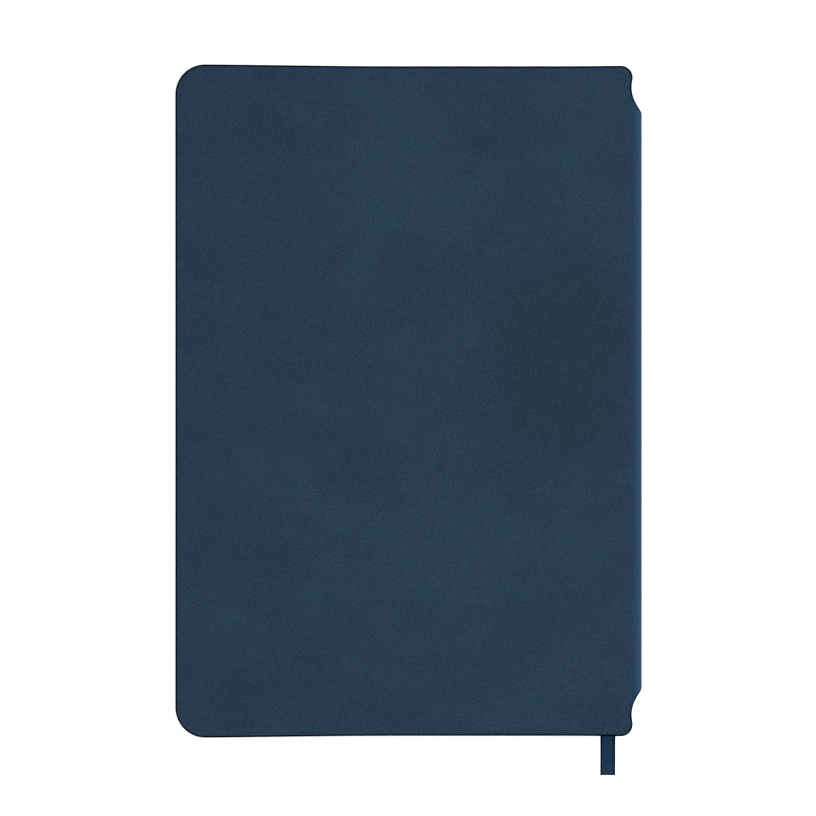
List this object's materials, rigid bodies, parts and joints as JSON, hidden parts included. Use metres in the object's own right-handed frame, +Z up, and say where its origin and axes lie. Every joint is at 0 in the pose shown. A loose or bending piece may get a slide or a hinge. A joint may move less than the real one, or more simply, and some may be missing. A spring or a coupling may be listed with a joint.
{
  "type": "pilot logbook",
  "caption": "Closed A5 soft-covered pilot logbook with sewn signatures, rounded corners, notched spine ends and a ribbon marker; both covers and their outer leaves open.",
  "frame": {"origin": "centre of the front cover's outer face, which lies on the surface", "axes": "+X from the fore edge to the spine, +Y from tail to head, +Z up from the front cover to the back cover"},
  "size_m": [0.146, 0.2223, 0.0151],
  "materials": {
    "cover_leatherette": "soft-touch navy leatherette with a fine grain",
    "cover_card": "dark flexible card",
    "page_paper": "uncoated ivory writing paper with ruled tables",
    "endpaper": "uncoated ivory endpaper",
    "mull_gauze": "open-weave cotton gauze",
    "lining_paper": "kraft paper",
    "band_cotton": "striped cotton",
    "sewing_thread": "waxed linen",
    "ribbon_satin": "navy woven satin"
  },
  "bodies": {
    "book_block": {"signature_01": "page_paper", "signature_02": "page_paper", "signature_03": "page_paper", "signature_04": "page_paper", "signature_05": "page_paper", "signature_06": "page_paper", "signature_07": "page_paper", "signature_08": "page_paper", "signature_09": "page_paper", "signature_10": "page_paper", "signature_11": "page_paper", "signature_12": "page_paper", "spine_skin": "cover_leatherette", "spine_strip": "cover_card", "spine_mull": "mull_gauze", "spine_lining": "lining_paper", "head_band": "band_cotton", "tail_band": "band_cotton", "sewing_thread": "sewing_thread", "ribbon_marker": "ribbon_satin", "back_joint_skin": "cover_leatherette", "front_joint_skin": "cover_leatherette", "back_endpaper_hinge": "endpaper", "front_endpaper_hinge": "endpaper"},
    "back_cover": {"back_skin": "cover_leatherette", "back_board": "cover_card", "back_pastedown": "endpaper"},
    "back_flyleaf_sheet": {"back_flyleaf": "endpaper"},
    "back_leaf_1_sheet": {"back_leaf_1": "page_paper"},
    "back_leaf_2_sheet": {"back_leaf_2": "page_paper"},
    "back_leaf_3_sheet": {"back_leaf_3": "page_paper"},
    "front_cover": {"front_skin": "cover_leatherette", "front_board": "cover_card", "front_pastedown": "endpaper"},
    "front_flyleaf_sheet": {"front_flyleaf": "endpaper"},
    "front_leaf_1_sheet": {"front_leaf_1": "page_paper"},
    "front_leaf_2_sheet": {"front_leaf_2": "page_paper"},
    "front_leaf_3_sheet": {"front_leaf_3": "page_paper"}
  },
  "joints": [
    {"name": "back_cover_hinge", "type": "hinge", "parent": "book_block", "child": "back_cover", "pos_m": [0.0723, 0, 0.01283], "axis": [0, 1, 0], "range_deg": [0, 180], "deforming": ["back_joint_skin", "back_endpaper_hinge"]},
    {"name": "back_flyleaf_turn", "type": "hinge", "parent": "book_block", "child": "back_flyleaf_sheet", "pos_m": [0.06895, 0, 0.0128], "axis": [0, 1, 0], "range_deg": [0, 180]},
    {"name": "back_leaf_1_turn", "type": "hinge", "parent": "book_block", "child": "back_leaf_1_sheet", "pos_m": [0.06895, 0, 0.0128], "axis": [0, 1, 0], "range_deg": [0, 174.6]},
    {"name": "back_leaf_2_turn", "type": "hinge", "parent": "book_block", "child": "back_leaf_2_sheet", "pos_m": [0.06895, 0, 0.0128], "axis": [0, 1, 0], "range_deg": [0, 169.2]},
    {"name": "back_leaf_3_turn", "type": "hinge", "parent": "book_block", "child": "back_leaf_3_sheet", "pos_m": [0.06895, 0, 0.0128], "axis": [0, 1, 0], "range_deg": [0, 162]},
    {"name": "front_cover_hinge", "type": "hinge", "parent": "book_block", "child": "front_cover", "pos_m": [0.0723, 0, 0.0023], "axis": [0, -1, 0], "range_deg": [0, 180], "deforming": ["front_joint_skin", "front_endpaper_hinge"]},
    {"name": "front_flyleaf_turn", "type": "hinge", "parent": "book_block", "child": "front_flyleaf_sheet", "pos_m": [0.06895, 0, 0.00233], "axis": [0, -1, 0], "range_deg": [0, 180]},
    {"name": "front_leaf_1_turn", "type": "hinge", "parent": "book_block", "child": "front_leaf_1_sheet", "pos_m": [0.06895, 0, 0.00233], "axis": [0, -1, 0], "range_deg": [0, 180]},
    {"name": "front_leaf_2_turn", "type": "hinge", "parent": "book_block", "child": "front_leaf_2_sheet", "pos_m": [0.06895, 0, 0.00233], "axis": [0, -1, 0], "range_deg": [0, 180]},
    {"name": "front_leaf_3_turn", "type": "hinge", "parent": "book_block", "child": "front_leaf_3_sheet", "pos_m": [0.06895, 0, 0.00233], "axis": [0, -1, 0], "range_deg": [0, 180]}
  ],
  "couplings": [
    {"joint": "back_flyleaf_turn", "follows": "back_cover_hinge", "ratio": 1},
    {"joint": "back_leaf_1_turn", "follows": "back_cover_hinge", "ratio": 0.97},
    {"joint": "back_leaf_2_turn", "follows": "back_cover_hinge", "ratio": 0.94},
    {"joint": "back_leaf_3_turn", "follows": "back_cover_hinge", "ratio": 0.9},
    {"joint": "front_flyleaf_turn", "follows": "front_cover_hinge", "ratio": 1},
    {"joint": "front_leaf_1_turn", "follows": "front_cover_hinge", "ratio": 1},
    {"joint": "front_leaf_2_turn", "follows": "front_cover_hinge", "ratio": 1},
    {"joint": "front_leaf_3_turn", "follows": "front_cover_hinge", "ratio": 1}
  ]
}
